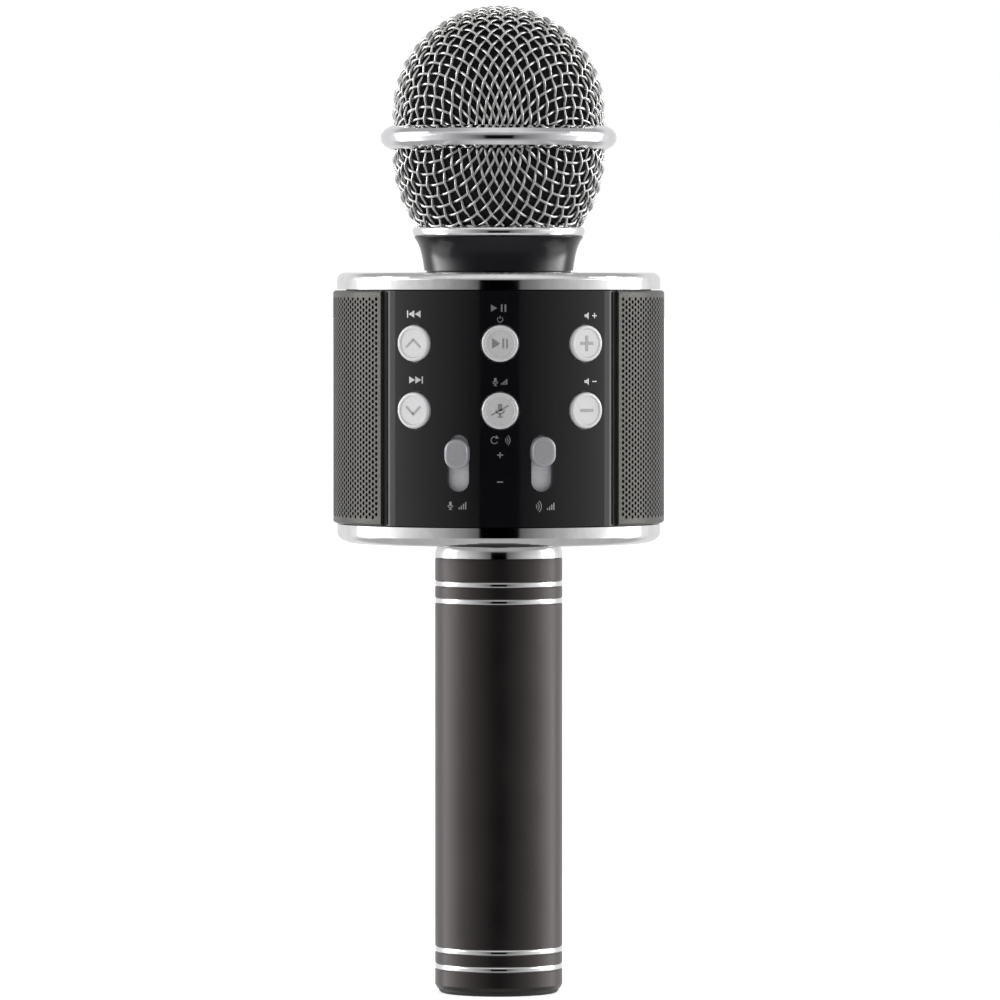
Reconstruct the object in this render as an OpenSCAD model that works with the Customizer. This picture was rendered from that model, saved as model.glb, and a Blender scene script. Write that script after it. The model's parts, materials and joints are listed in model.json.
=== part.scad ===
// Handheld karaoke microphone: a woven mesh head on a flared neck, a control drum with a speaker on
// each side, and a battery handle. It stands on its end cap. +Z is up, the control panel faces -Y,
// and the origin is the middle of the end cap's flat face. Sizes are in millimetres.

/* [Handle] */
// Outer diameter of the handle tube
handle_d = 32.3; // [32:0.1:33]
// Height of the top of the handle tube
handle_top = 110.2; // [108:0.1:118]
// Wall of the handle tube
handle_wall = 1.4; // [1.2:0.1:1.5]
// Width of a bright ring inlaid in the handle
trim_w = 1.35; // [0.8:0.05:1.6]
// Distance between the two rings of a pair
trim_pitch = 4.3; // [3.5:0.1:5]
// Height of the middle of the lower pair of rings
trim_low = 9.0; // [8.5:0.1:12]
// Distance from the top of the tube to the middle of the upper pair of rings
trim_drop = 8.5; // [7:0.1:12]
// Height of the bright collar between the handle and the drum
collar_h = 3.9; // [3.8:0.1:6]

/* [Drum] */
// Outer diameter over the speaker grilles
drum_d = 83.8; // [83.4:0.1:85]
// How far the two bright caps stand in from the grilles
cap_inset = 1.0; // [0.8:0.1:1.2]
// Height of the lower cap
low_cap_h = 4.85; // [4.8:0.05:6]
// Height of the grilles and panels between the two caps
window_h = 59.35; // [59:0.05:66]
// Height of the upper cap
top_cap_h = 4.2; // [4:0.1:5]
// Half the angle that a panel covers, seen from above
panel_angle = 43.5; // [43:0.1:44]

/* [Controls] */
// Diameter of a push button
button_d = 9.1; // [8:0.1:9.4]
// Travel of a push button
button_travel = 0.5; // [0.3:0.05:0.5]
// Angle from the middle of the panel to the outer buttons
button_angle = 30.9; // [29.5:0.1:31.5]
// Height of the lower row of buttons above the lower edge of the panel
button_low = 29.25; // [28.9:0.05:30]
// Distance between the two rows of buttons
button_pitch = 16.7; // [15:0.1:18]
// Angle from the middle of the panel to a volume slider
slider_angle = 14.5; // [14:0.1:15]
// Travel of a volume slider
slider_travel = 9.0; // [7.4:0.1:9.2]

/* [Neck and head] */
// Height of the neck
neck_h = 9.3; // [9:0.1:14]
// Radius of the neck where it meets the drum
neck_r_low = 18.8; // [18.7:0.1:20]
// Radius of the neck where it meets the head
neck_r_top = 21.4; // [21:0.1:22]
// Diameter over the woven mesh
ball_d = 54.0; // [53:0.1:55]
// Height of the straight part of the mesh between its two round parts
ball_straight = 10.5; // [9:0.1:12]
// Diameter of the bright band around the mesh
band_d = 59.6; // [58:0.1:61]
// Height of the band
band_h = 5.8; // [5:0.1:7]
// Rise of the head for one turn of its screw thread
thread_pitch = 1.5; // [1:0.25:2]

/* [Hidden] */
$fn = 96;
GAP = 0.1;       // running gap between neighbouring parts of the case
BITE = 0.5;      // how far joined shapes of one solid reach into each other
ARC_STEPS = 16;  // points on a rounded edge

// Handle
tube_r = handle_d / 2;
tube_r_in = tube_r - handle_wall;
cap_flat_r = 14.2;
cap_flange_h = 1.2;
stub_r = tube_r_in - 0.05;
stub_bore_r = 10;
stub_low = handle_top - 18;
stub_flange_r = 20;
groove_depth = 0.55;
trim_r = tube_r - 0.04;
ring_heights = [
    for (middle = [trim_low, handle_top - trim_drop]) for (side = [-0.5, 0.5]) middle + side * trim_pitch
];
cell_r = 9.2;
cell_low = 12;
cell_h = 65;
holder_r = 13.8;
holder_low = 8.2;
holder_top = cell_low + cell_h + 5;

// Drum, from the bottom up
drum_low = handle_top + collar_h;
window_low = drum_low + low_cap_h;
window_top = window_low + window_h;
drum_top = window_top + top_cap_h;
cap_floor = 2.0;
edge_gap = 0.3;                      // shadow line between a cap and the grilles
skin_low = window_low + edge_gap;
skin_top = window_top - edge_gap;
middle_z = (window_low + window_top) / 2;

// Drum, from the outside in
grille_r = drum_d / 2;
grille_t = 0.8;
cap_r = grille_r - cap_inset;
panel_r = grille_r - 0.3;
panel_t = 1.4;
panel_r_in = panel_r - panel_t;
bevels = [[4.6, 6, 0], [2.2, 16, 0.15]]; // [degrees in from a panel's upright edge, tilt, depth at its start]
frame_r = 38.6;
frame_r_in = 36.2;
plate_t = 2.2;                       // floor and lid of the frame
floor_low = drum_low + cap_floor + plate_t;
lid_low = drum_top - cap_floor - plate_t;
flex_t = 0.8;
flex_r = frame_r_in - GAP;
window_angle = 38;                   // half angle of the frame's front and rear openings
window_bottom = window_low + 2.4;
window_ceiling = window_top - 1.9;
rail_angle = panel_angle + 0.1;
rail_width = 1.6;                    // degrees
grille_angle = rail_angle + rail_width + 0.1;

// Push buttons, as distances from the drum's axis
button_face = panel_r + 0.75;
flange_top = panel_r_in - 0.5;
flange_t = 0.7;
flange_r = button_d / 2 + 0.75;
button_clear = 0.3;
switch_top = 38.0;
plunger_r = 1.5;
plunger_foot = 36.95;
row_low = window_low + button_low;
row_top = row_low + button_pitch;

// Volume sliders
knob_w = 6.1;
knob_h = 7.6;
knob_face = panel_r + 2.7;
slot_w = 5.4;
slot_low = window_low + 9.05;
stem_d = 4.6;
slot_h = stem_d + slider_travel + 0.6;
slider_z = slot_low + slot_h / 2;
mic_knob_z = slider_z + 2.3;
echo_knob_z = slider_z + 2.9;
shield_r = 39.75;
shield_t = 0.95;
shield_half_h = slider_z - slider_travel / 2 - window_low - 0.3;
shield_half_angle = 5.4;

// Speakers, as distances from the middle of the drum along X
speaker_z = middle_z;
baffle_back = 29.5;
baffle_t = 2.5;
cone_rim_r = 15.0;
roll_r = 1.4;
basket_rim_r = 20.9;
coil_r = 6.4;

// Ports on the rear, on both sides of an upright board
board_t = 1.6;
board_low = window_bottom + 0.2;
board_top = window_ceiling - 0.4;
board_rear = 36.0;
port_top_z = middle_z + 1;
port_low_z = middle_z - 17;
port_mouth = 39.4;
rear_control_angle = 24;
rear_control_z = middle_z + 15;
jack_bore_r = 1.8;
jack_r = 2.9;
jack_x = board_t / 2 + 3.0;
usb_x = board_t / 2 + 2.85;
card_x = -board_t / 2 - 0.95;
charge_x = -board_t / 2 - 1.4;

// Head
neck_top = drum_top + neck_h;
base_ring_h = 2.2;
base_ring_r = 21.75;
mesh_low = neck_top + base_ring_h;
mesh_t = 1.0;
ball_r = ball_d / 2;
cup_half_h = 29;                     // half height of the ellipse that the lower mesh follows
cup_z = mesh_low + 18.5;
dome_z = cup_z + ball_straight;
band_z = cup_z + 4.1;
spigot_r = 17.4;
foam_gap = 0.2;
foam_t = 3;
foam_low = mesh_low + 0.55;

// Fasteners
screw_r = 1.25;
screw_len = 7;
screw_head_r = 2.2;
screw_head_h = 1.5;
thread_hole_r = 1.3;
clear_hole_r = 1.5;
lid_screw_at = 33.2;
neck_screw_at = 13;
stub_screw_at = 12.35;
small_screw_r = 0.8;
speaker_screw_at = 19.7;

// Points on part of an ellipse
function arc(cx, cy, rx, ry, from, to, steps = ARC_STEPS) =
    [for (i = [0:steps]) let (a = from + (to - from) * i / steps) [cx + rx * cos(a), cy + ry * sin(a)]];

// A plain ring about Z
module ring(r_in, r_out, low, top) {
    rotate_extrude() translate([r_in, low]) square([r_out - r_in, top - low]);
}

// Part of a ring about Z, between two angles from the middle of the front
module arc_wall(r_in, r_out, from, to, low, top) {
    rotate([0, 0, from - 90]) rotate_extrude(angle = to - from)
        translate([r_in, low]) square([r_out - r_in, top - low]);
}

// Places a shape on the drum's side: its Z points outward, its Y up and its X to the right
module at_drum(angle, z) {
    translate([0, 0, z]) rotate([0, 0, angle]) rotate([90, 0, 0]) children();
}

// Places a shape on a speaker's axis: its Z points outward
module at_speaker(side) {
    translate([0, 0, speaker_z]) rotate([0, side * 90, 0]) children();
}

// An upright outline with round ends
module stadium(w, h) {
    union() {
        for (end = [-1, 1]) translate([0, end * (h - w) / 2]) circle(d = w);
        square([w, h - w], center = true);
    }
}

// A box given by its lowest and highest corners
module block(low, high) {
    translate(low) cube(high - low);
}

// A straight rod between two points
module rod(from, to, r) {
    d = to - from;
    len = norm(d);
    translate(from) rotate([0, acos(d[2] / len), atan2(d[1], d[0])]) cylinder(r = r, h = len, $fn = 32);
}

// An insulated wire through a list of points, a little fuller at its bends
module wire(points, r) {
    union() {
        for (i = [1:len(points) - 1]) rod(points[i - 1], points[i], r);
        for (i = [1:len(points) - 2]) translate(points[i]) sphere(r = r * 1.1, $fn = 32);
    }
}

// A pan head screw whose head rests at z = 0 and whose shank points down
module screw(r, len, head_r, head_h) {
    slot = head_r * 0.3;
    difference() {
        union() {
            translate([0, 0, -len]) cylinder(r = r, h = len + head_h / 2);
            cylinder(r = head_r, h = head_h);
        }
        for (turn = [0, 90]) rotate([0, 0, turn])
            translate([0, 0, head_h]) cube([head_r * 1.3, slot, head_h], center = true);
    }
}

// ---- Head ----

module upper_mesh() {
    color("silver") rotate_extrude() polygon(concat(
        [[ball_r, band_z + GAP]],
        arc(0, dome_z, ball_r, ball_r, 0, 90, 28),
        arc(0, dome_z, ball_r - mesh_t, ball_r - mesh_t, 90, 0, 28),
        [[ball_r - mesh_t, band_z + GAP]]
    ));
}

function cup_angle(r, half_h) = -asin((cup_z - mesh_low) / half_h);

module lower_mesh() {
    inner_half = cup_half_h - mesh_t;
    color("silver") rotate_extrude() polygon(concat(
        arc(0, cup_z, ball_r, cup_half_h, cup_angle(ball_r, cup_half_h), 0, 20),
        [[ball_r, band_z - GAP], [ball_r - mesh_t, band_z - GAP]],
        arc(0, cup_z, ball_r - mesh_t, inner_half, 0, cup_angle(ball_r, inner_half), 20)
    ));
}

module head_band() {
    r = band_d / 2;
    half = band_h / 2;
    color("gainsboro") translate([0, 0, band_z]) rotate_extrude() polygon(concat(
        [[ball_r + 0.05, -half], [r - 2.4, -half], [r - 1.0, -half + 0.8]],
        arc(r - 3.2, 0, 3.2, 3.2, -21, 21, 8),
        [[r - 1.0, half - 0.8], [r - 2.4, half], [ball_r + 0.05, half]]
    ));
}

module foam_liner() {
    out_r = ball_r - mesh_t - foam_gap;
    out_half = cup_half_h - mesh_t - foam_gap;
    in_r = out_r - foam_t;
    in_half = out_half - foam_t;
    color("dimgray") rotate_extrude() polygon(concat(
        arc(0, cup_z, out_r, out_half, -asin((cup_z - foam_low) / out_half), 0),
        arc(0, dome_z, out_r, out_r, 0, 90),
        arc(0, dome_z, in_r, in_r, 90, 0),
        arc(0, cup_z, in_r, in_half, 0, -asin((cup_z - foam_low) / in_half))
    ));
}

module head_base_ring() {
    bore = 15.4;
    bulge = 0.6;
    middle = neck_top + base_ring_h / 2;
    color("gainsboro") rotate_extrude() polygon(concat(
        [[bore, neck_top - 4.8], [spigot_r, neck_top - 4.8], [spigot_r, neck_top]],
        [[base_ring_r - bulge, neck_top]],
        arc(base_ring_r - bulge, middle, bulge, base_ring_h / 2, -78, 78, 12),
        [[base_ring_r - bulge, mesh_low]],
        [[19.2, mesh_low], [19.2, mesh_low + 0.4], [18.2, mesh_low + 0.4], [bore, mesh_low - 1]]
    ));
}

// ---- Neck ----

module neck_collar() {
    foot = 0.5;                      // shadow line above the drum
    seat = neck_top - 6;
    flare = [
        for (i = [0:ARC_STEPS]) let (t = i / ARC_STEPS)
            [neck_r_low + (neck_r_top - neck_r_low) * t * (0.5 + 0.5 * pow(t, 3)), drum_top + foot + (neck_h - foot - 0.3) * t]
    ];
    color("#1b1b20") difference() {
        rotate_extrude() polygon(concat(
            [[8, drum_top], [neck_r_low - 0.5, drum_top], [neck_r_low - 0.5, drum_top + foot]],
            flare,
            [[neck_r_top - 0.3, neck_top], [spigot_r + 0.07, neck_top], [spigot_r + 0.07, seat]],
            [[16.4, seat], [16.4, drum_top + 2.5], [8, drum_top + 2.5]]
        ));
        for (turn = [90, 210, 330]) rotate([0, 0, turn]) translate([neck_screw_at, 0, drum_top - 1])
            cylinder(r = clear_hole_r, h = 5);
    }
}

capsule_low = mesh_low + 12;
capsule_h = 9;
capsule_r = 9.4;

module capsule_mount() {
    floor = drum_top + 2.5;
    color("#202020") rotate_extrude() polygon([
        [3, floor], [10, floor], [10, floor + 1.6], [6.5, floor + 3], [6.5, capsule_low - 3.5],
        [capsule_r + 1.8, capsule_low - 1.6], [capsule_r + 1.8, capsule_low + 6],
        [capsule_r + GAP / 2, capsule_low + 6], [capsule_r + GAP / 2, capsule_low], [3, capsule_low]
    ]);
}

module mic_capsule() {
    color("silver") difference() {
        translate([0, 0, capsule_low]) cylinder(r = capsule_r, h = capsule_h);
        translate([0, 0, capsule_low + capsule_h - 1.2]) {
            cylinder(r = 0.9, h = 2);
            for (turn = [0:60:300]) rotate([0, 0, turn]) translate([4.6, 0, 0]) cylinder(r = 0.9, h = 2);
        }
    }
}

module capsule_leads() {
    color("firebrick") for (side = [-1, 1])
        wire([
            [side * 1.5, -1, board_top - 4], [side * 1.5, -1, lid_low], [side * 1.2, 0.6, drum_top + 4],
            [side * 1.5, 0, capsule_low - 0.05]
        ], 0.45);
}

// ---- Drum case ----

module top_cap() {
    round = 2.0;
    color("gainsboro") difference() {
        rotate_extrude() polygon(concat(
            [[8, drum_top - cap_floor], [frame_r + GAP, drum_top - cap_floor], [frame_r + GAP, window_top]],
            [[cap_r, window_top]],
            arc(cap_r - round, drum_top - round, round, round, 0, 90),
            [[8, drum_top]]
        ));
        for (turn = [90, 210, 330]) rotate([0, 0, turn])
            translate([neck_screw_at, 0, drum_top - 5]) cylinder(r = clear_hole_r, h = 8);
    }
}

module bottom_cap() {
    round_w = 4.6;
    round_h = 2.6;
    color("gainsboro") rotate_extrude() polygon(concat(
        [[stub_r + GAP, drum_low]],
        arc(cap_r - round_w, drum_low + round_h, round_w, round_h, -90, 0),
        [[cap_r, window_low], [frame_r + GAP, window_low], [frame_r + GAP, drum_low + cap_floor + 1]],
        [[frame_r - 1, drum_low + cap_floor], [stub_r + GAP, drum_low + cap_floor]]
    ));
}

module frame_wall() {
    ring(frame_r_in, frame_r, drum_low + cap_floor + 1.2, lid_low);
    ring(9, frame_r_in + BITE, floor_low, floor_low + plate_t);
    for (turn = [45:90:315]) rotate([0, 0, turn]) translate([lid_screw_at, 0, lid_low - 10])
        cylinder(r = 3.4, h = 10);
    for (side = [-1, 1]) intersection() {
        at_speaker(side) translate([0, 0, baffle_back]) cylinder(r = 23, h = baffle_t);
        ring(0, frame_r - GAP, drum_low + cap_floor + 1.2, lid_low);
    }
    for (middle = [0, 180]) for (side = [-1, 1]) {
        a = middle + side * (rail_angle + rail_width / 2);
        arc_wall(frame_r - BITE, panel_r - 0.7, a - rail_width / 2, a + rail_width / 2, skin_low, skin_top);
    }
}

module drum_frame() {
    color("#141414") difference() {
        frame_wall();
        for (middle = [0, 180])
            arc_wall(frame_r_in - 1, frame_r + 1, middle - window_angle, middle + window_angle,
                window_bottom, window_ceiling);
        for (side = [-1, 1]) at_speaker(side) {
            translate([0, 0, baffle_back - 1]) cylinder(r = 18, h = 12);
            translate([0, 0, baffle_back + baffle_t]) cylinder(r = 21, h = 12);
            for (turn = [45:90:315]) rotate([0, 0, turn])
                translate([speaker_screw_at, 0, baffle_back - 1]) cylinder(r = small_screw_r + 0.05, h = 3);
        }
        for (turn = [45:90:315]) rotate([0, 0, turn])
            translate([lid_screw_at, 0, lid_low - 8]) cylinder(r = thread_hole_r, h = 9);
        for (turn = [0, 120, 240]) rotate([0, 0, turn])
            translate([stub_screw_at, 0, floor_low - 1]) cylinder(r = clear_hole_r, h = 5);
    }
}

module frame_lid() {
    color("#141414") difference() {
        ring(8, frame_r, lid_low, lid_low + plate_t);
        for (turn = [45:90:315]) rotate([0, 0, turn]) translate([lid_screw_at, 0, lid_low - 1]) {
            cylinder(r = clear_hole_r, h = 5);
            translate([0, 0, plate_t + 1 - screw_head_h - GAP]) cylinder(r = screw_head_r + 0.3, h = 3);
        }
        for (turn = [90, 210, 330]) rotate([0, 0, turn])
            translate([neck_screw_at, 0, lid_low - 1]) cylinder(r = thread_hole_r, h = 5);
    }
}

// A curved panel, thicker along its upright edges, with two shallow bevels down each edge
module panel_blank(middle) {
    inner = panel_angle - 1.8;
    difference() {
        arc_wall(frame_r + GAP, panel_r, middle - panel_angle, middle + panel_angle, skin_low, skin_top);
        arc_wall(frame_r - 1, panel_r_in, middle - inner, middle + inner, skin_low - 1, skin_top + 1);
        for (side = [-1, 1]) for (b = bevels) at_drum(middle + side * (panel_angle - b[0]), middle_z)
            translate([0, 0, panel_r - b[2]]) rotate([0, side * b[1], 0])
                translate([side * 3, 0, 1.5]) cube([6, window_h + 2, 3], center = true);
    }
}

module front_panel() {
    color("#101014") difference() {
        panel_blank(0);
        for (angle = [-button_angle, 0, button_angle]) for (z = [row_low, row_top])
            at_drum(angle, z) translate([0, 0, panel_r - 4]) cylinder(r = button_d / 2 + button_clear, h = 6);
        for (angle = [-slider_angle, slider_angle])
            at_drum(angle, slider_z) translate([0, 0, panel_r - 4])
                linear_extrude(6) stadium(slot_w, slot_h);
    }
}

module rear_panel() {
    color("#101014") difference() {
        panel_blank(180);
        at_drum(180 + rear_control_angle, rear_control_z) translate([0, 0, panel_r - 4])
            cylinder(r = button_d / 2 + button_clear, h = 6);
        at_drum(180 - rear_control_angle, rear_control_z) translate([0, 0, panel_r - 4])
            linear_extrude(6) stadium(3.2, 8.2);
        translate([0, panel_r - 4, rear_control_z]) rotate([-90, 0, 0]) cylinder(r = 1.35, h = 6);
        translate([jack_x, panel_r - 4, port_low_z]) rotate([-90, 0, 0]) cylinder(r = jack_r + 0.2, h = 6);
        block([usb_x - 3.05, panel_r - 4, port_top_z - 6.8], [usb_x + 3.05, panel_r + 2, port_top_z + 6.8]);
        block([card_x - 1.0, panel_r - 4, port_top_z - 6.2], [card_x + 0.9, panel_r + 2, port_top_z + 6.2]);
        block([charge_x - 1.8, panel_r - 4, port_low_z - 4.2], [charge_x + 1.6, panel_r + 2, port_low_z + 4.2]);
    }
}

// A curved grille whose upper and lower edges turn inward
module grille(middle) {
    half = 90 - grille_angle;
    color("#55544f") union() {
        arc_wall(grille_r - grille_t, grille_r, middle - half, middle + half, skin_low, skin_top);
        for (z = [skin_low, skin_top - grille_t])
            arc_wall(frame_r + 0.8, grille_r - grille_t / 2, middle - half, middle + half, z, z + grille_t);
    }
}

module left_grille() grille(-90);

module right_grille() grille(90);

// ---- Speakers ----

module speaker_basket(side) {
    inside = 17.9;
    wall = 0.5;
    rim = baffle_back - 1.2;
    color("#3a3a3c") at_speaker(side) difference() {
        rotate_extrude() polygon([
            [coil_r + 0.5, 17.7], [12, 17.7], [12, 18.5], [11.1, 18.5],
            [inside + wall, rim], [basket_rim_r, rim], [basket_rim_r, baffle_back],
            [inside, baffle_back], [inside, rim], [10.5, 18.5], [coil_r + 0.5, 18.5]
        ]);
        for (turn = [0:60:300]) rotate([0, 0, turn]) block([6, -3, 19.5], [20, 3, 26.5]);
        for (turn = [45:90:315]) rotate([0, 0, turn])
            translate([speaker_screw_at, 0, 27]) cylinder(r = small_screw_r + 0.05, h = 4);
    }
}

module speaker_magnet(side) {
    color("#2b2b2b") at_speaker(side) difference() {
        translate([0, 0, 12.2]) cylinder(r = 13, h = 5.5);
        ring(coil_r - 0.7, coil_r + 0.5, 14.2, 18);
    }
}

module speaker_cone(side) {
    paper = 0.4;
    cap = arc(0, 23.4, coil_r, 2.6, 0, 90, 8);
    cap_in = arc(0, 23.4, coil_r - paper, 2.6 - paper, 90, 0, 8);
    color("#2a2a2a") at_speaker(side) rotate_extrude() polygon(concat(
        [[coil_r - paper, 15.6], [coil_r, 15.6], [coil_r, 22.8], [cone_rim_r, 28.6], [cone_rim_r, 29.1]],
        cap, cap_in
    ));
}

module speaker_suspension(side) {
    skin = 0.4;
    color("#181818") at_speaker(side) {
        rotate_extrude() polygon(concat(
            arc(cone_rim_r + 0.05 + roll_r, 28.8, roll_r, roll_r, 180, 0, 12),
            arc(cone_rim_r + 0.05 + roll_r, 28.8, roll_r - skin, roll_r - skin, 0, 180, 12)
        ));
        ring(coil_r + 0.15, 10.8, 20.0, 20.3);
    }
}

module left_speaker_basket() speaker_basket(-1);

module left_speaker_magnet() speaker_magnet(-1);

module left_speaker_cone() speaker_cone(-1);

module left_speaker_suspension() speaker_suspension(-1);

module right_speaker_basket() speaker_basket(1);

module right_speaker_magnet() speaker_magnet(1);

module right_speaker_cone() speaker_cone(1);

module right_speaker_suspension() speaker_suspension(1);

module speaker_leads() {
    color("firebrick") for (side = [-1, 1]) for (offset = [0, 2.4])
        wire([
            [side * (board_t / 2 + 0.4), -12 - offset, speaker_z - 16],
            [side * 6, -15 - offset, speaker_z - 18],
            [side * 14, -15 - offset, speaker_z - 12],
            [side * 16.8, -13 - offset / 2, speaker_z - 4 - offset]
        ], 0.4);
}

module speaker_screws() {
    color("silver") for (side = [-1, 1]) at_speaker(side) for (turn = [45:90:315])
        rotate([0, 0, turn]) translate([speaker_screw_at, 0, baffle_back - 1.2]) rotate([180, 0, 0])
            screw(small_screw_r, 3.2, 1.25, 0.9);
}

module case_screws() {
    color("silver") {
        for (turn = [45:90:315]) rotate([0, 0, turn])
            translate([lid_screw_at, 0, lid_low + plate_t - screw_head_h - GAP])
                screw(screw_r, screw_len, screw_head_r, screw_head_h);
        for (turn = [90, 210, 330]) rotate([0, 0, turn])
            translate([neck_screw_at, 0, drum_top + 2.5])
                screw(screw_r, screw_len, screw_head_r, screw_head_h);
        for (turn = [0, 120, 240]) rotate([0, 0, turn])
            translate([stub_screw_at, 0, floor_low + plate_t])
                screw(screw_r, screw_len, screw_head_r, screw_head_h);
    }
}

// ---- Electronics ----

module main_board() {
    color("#1d5c38") block([-board_t / 2, -18, board_low], [board_t / 2, board_rear, board_top]);
}

module board_parts() {
    face = board_t / 2;
    color("#2a2a2a") {
        block([face, -6, middle_z - 5], [face + 1.6, 6, middle_z + 5]);
        block([-face - 1.4, 2, middle_z - 16], [-face, 10, middle_z - 8]);
        block([face, 12, middle_z + 12], [face + 2.2, 18, middle_z + 18]);
        for (i = [0:2]) translate([face + 3.2, -12, middle_z + 8 + 7.5 * i - 2]) rotate([90, 0, 0])
            cylinder(r = 3.15, h = 5.6);
        for (i = [0:4]) block([-face - 0.9, -14 + 4 * i, middle_z + 14], [-face, -12.4 + 4 * i, middle_z + 17.2]);
        block([-1, board_rear + 0.05, rear_control_z - 1], [1, board_rear + 0.7, rear_control_z + 1]);
    }
}

module key_flex() {
    color("#7a4a1c") arc_wall(flex_r - flex_t, flex_r, -39, 39, window_bottom - 0.7, window_ceiling + 0.8);
}

module rear_key_boards() {
    color("#1d5c38") for (side = [-1, 1]) {
        a = 180 + side * rear_control_angle;
        arc_wall(flex_r - flex_t, flex_r, a - 11, a + 11, rear_control_z - 9, rear_control_z + 9);
    }
}

module tact_body() {
    difference() {
        block([-3, -3, flex_r], [3, 3, switch_top]);
        translate([0, 0, flex_r + 0.25]) cylinder(r = plunger_r + 0.1, h = 4);
    }
}

module tact_switches() {
    color("#303030") {
        for (angle = [-button_angle, 0, button_angle]) for (z = [row_low, row_top])
            at_drum(angle, z) tact_body();
        at_drum(180 + rear_control_angle, rear_control_z) tact_body();
    }
}

lever_h = 3;

module slide_pots() {
    half = slider_travel / 2 + lever_h / 2 + 0.4;
    color("silver") for (angle = [-slider_angle, slider_angle]) at_drum(angle, slider_z) difference() {
        block([-3.2, -9, flex_r], [3.2, 9, 38.2]);
        block([-0.7, -half, 37], [0.7, half, 40]);
    }
}

module power_switch() {
    color("silver") at_drum(180 - rear_control_angle, rear_control_z) difference() {
        block([-2.6, -5, flex_r], [2.6, 5, 38.2]);
        block([-1.2, -3.1, 37], [1.2, 3.1, 40]);
    }
}

module status_light() {
    color("lightcyan") translate([0, board_rear + 0.8, rear_control_z]) rotate([-90, 0, 0])
        cylinder(r = 1.25, h = panel_r - board_rear - 0.8);
}

// An open metal box with a tongue, its mouth towards +Y
module port_shell(x, z, w, h, depth, wall, tongue_w, tongue_h, tongue_x) {
    difference() {
        block([x - w / 2, port_mouth - depth, z - h / 2], [x + w / 2, port_mouth, z + h / 2]);
        block([x - w / 2 + wall, port_mouth - depth + 2, z - h / 2 + wall],
            [x + w / 2 - wall, port_mouth + 1, z + h / 2 - wall]);
    }
    block([x + tongue_x - tongue_w / 2, port_mouth - depth + 1.8, z - tongue_h / 2],
        [x + tongue_x + tongue_w / 2, port_mouth - 0.8, z + tongue_h / 2]);
}

module usb_socket() {
    color("silver") port_shell(usb_x, port_top_z, 5.7, 13.1, 13.4, 0.3, 1.8, 11.1, 1.0);
}

module card_socket() {
    color("silver") difference() {
        block([card_x - 0.95, port_mouth - 14.5, port_top_z - 7], [card_x + 0.95, port_mouth, port_top_z + 7]);
        block([card_x - 0.55, port_mouth - 13, port_top_z - 5.6], [card_x + 0.55, port_mouth + 1, port_top_z + 5.6]);
    }
}

module charge_socket() {
    color("silver") port_shell(charge_x, port_low_z, 2.8, 7.6, 5.6, 0.3, 0.6, 4.6, -0.3);
}

module audio_jack() {
    nose = 41.4;
    color("#1a1a1a") difference() {
        union() {
            block([board_t / 2, port_mouth - 14, port_low_z - 3], [board_t / 2 + 6, port_mouth - 0.4, port_low_z + 3]);
            translate([jack_x, port_mouth - 2, port_low_z]) rotate([-90, 0, 0])
                cylinder(r = jack_r, h = nose - port_mouth + 2);
        }
        translate([jack_x, port_mouth - 12.5, port_low_z]) rotate([-90, 0, 0]) cylinder(r = jack_bore_r, h = 20);
    }
}

// ---- Controls ----

// A round cap with a dished face and a retaining flange, and below it the plunger of its switch
module push_button(angle, z) {
    r = button_d / 2;
    rim = 0.55;
    dish_r = r - 1.05;
    color("silver") at_drum(angle, z) {
        rotate_extrude() polygon(concat(
            [[0, flange_top - flange_t], [flange_r, flange_top - flange_t], [flange_r, flange_top], [r, flange_top]],
            arc(r - rim, button_face - rim, rim, rim, 0, 90, 6),
            [[dish_r + 0.2, button_face], [dish_r, button_face - 0.25], [0, button_face - 0.25]]
        ));
        translate([0, 0, plunger_foot]) cylinder(r = plunger_r, h = flange_top - flange_t - plunger_foot);
    }
}

module previous_button() push_button(-button_angle, row_top);

module next_button() push_button(-button_angle, row_low);

module play_button() push_button(0, row_top);

module replay_button() push_button(0, row_low);

module volume_up_button() push_button(button_angle, row_top);

module volume_down_button() push_button(button_angle, row_low);

module mode_button() push_button(180 + rear_control_angle, rear_control_z);

// Half the outline of a rounded grip, from its axis to its edge
function grip_profile(half_w, low, top, round) = concat(
    [[0, low], [half_w - 0.2, low], [half_w, low + 0.2]],
    arc(half_w - round, top - round, round, round, 0, 90, 6),
    [[0, top]]
);

// A grip with round ends and a rounded upper edge
module rounded_grip(w, h, low, top, round) {
    straight = h - w;
    half = grip_profile(w / 2, low, top, round);
    union() {
        for (end = [-1, 1]) translate([0, end * straight / 2, 0]) rotate_extrude() polygon(half);
        translate([0, straight / 2, 0]) rotate([90, 0, 0]) linear_extrude(straight)
            polygon(concat(half, [for (i = [len(half) - 1:-1:0]) [-half[i][0], half[i][1]]]));
    }
}

// A grip outside the panel, a stem through the slot, a curved dust shield behind it, and the lever
module volume_knob(angle, knob_z) {
    color("#8d8f94") {
        union() {
            at_drum(angle, knob_z) rounded_grip(knob_w, knob_h, panel_r + 0.15, knob_face, 0.9);
            at_drum(angle, knob_z) translate([0, 0, shield_r - shield_t / 2])
                cylinder(d = stem_d, h = panel_r + 1 - shield_r);
            arc_wall(shield_r - shield_t, shield_r, angle - shield_half_angle, angle + shield_half_angle,
                knob_z - shield_half_h, knob_z + shield_half_h);
        }
        at_drum(angle, knob_z) block([-0.5, -lever_h / 2, 37.15], [0.5, lever_h / 2, shield_r - shield_t - 0.05]);
    }
}

module mic_volume_knob() volume_knob(-slider_angle, mic_knob_z);

module echo_knob() volume_knob(slider_angle, echo_knob_z);

power_travel = 2.6;

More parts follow.
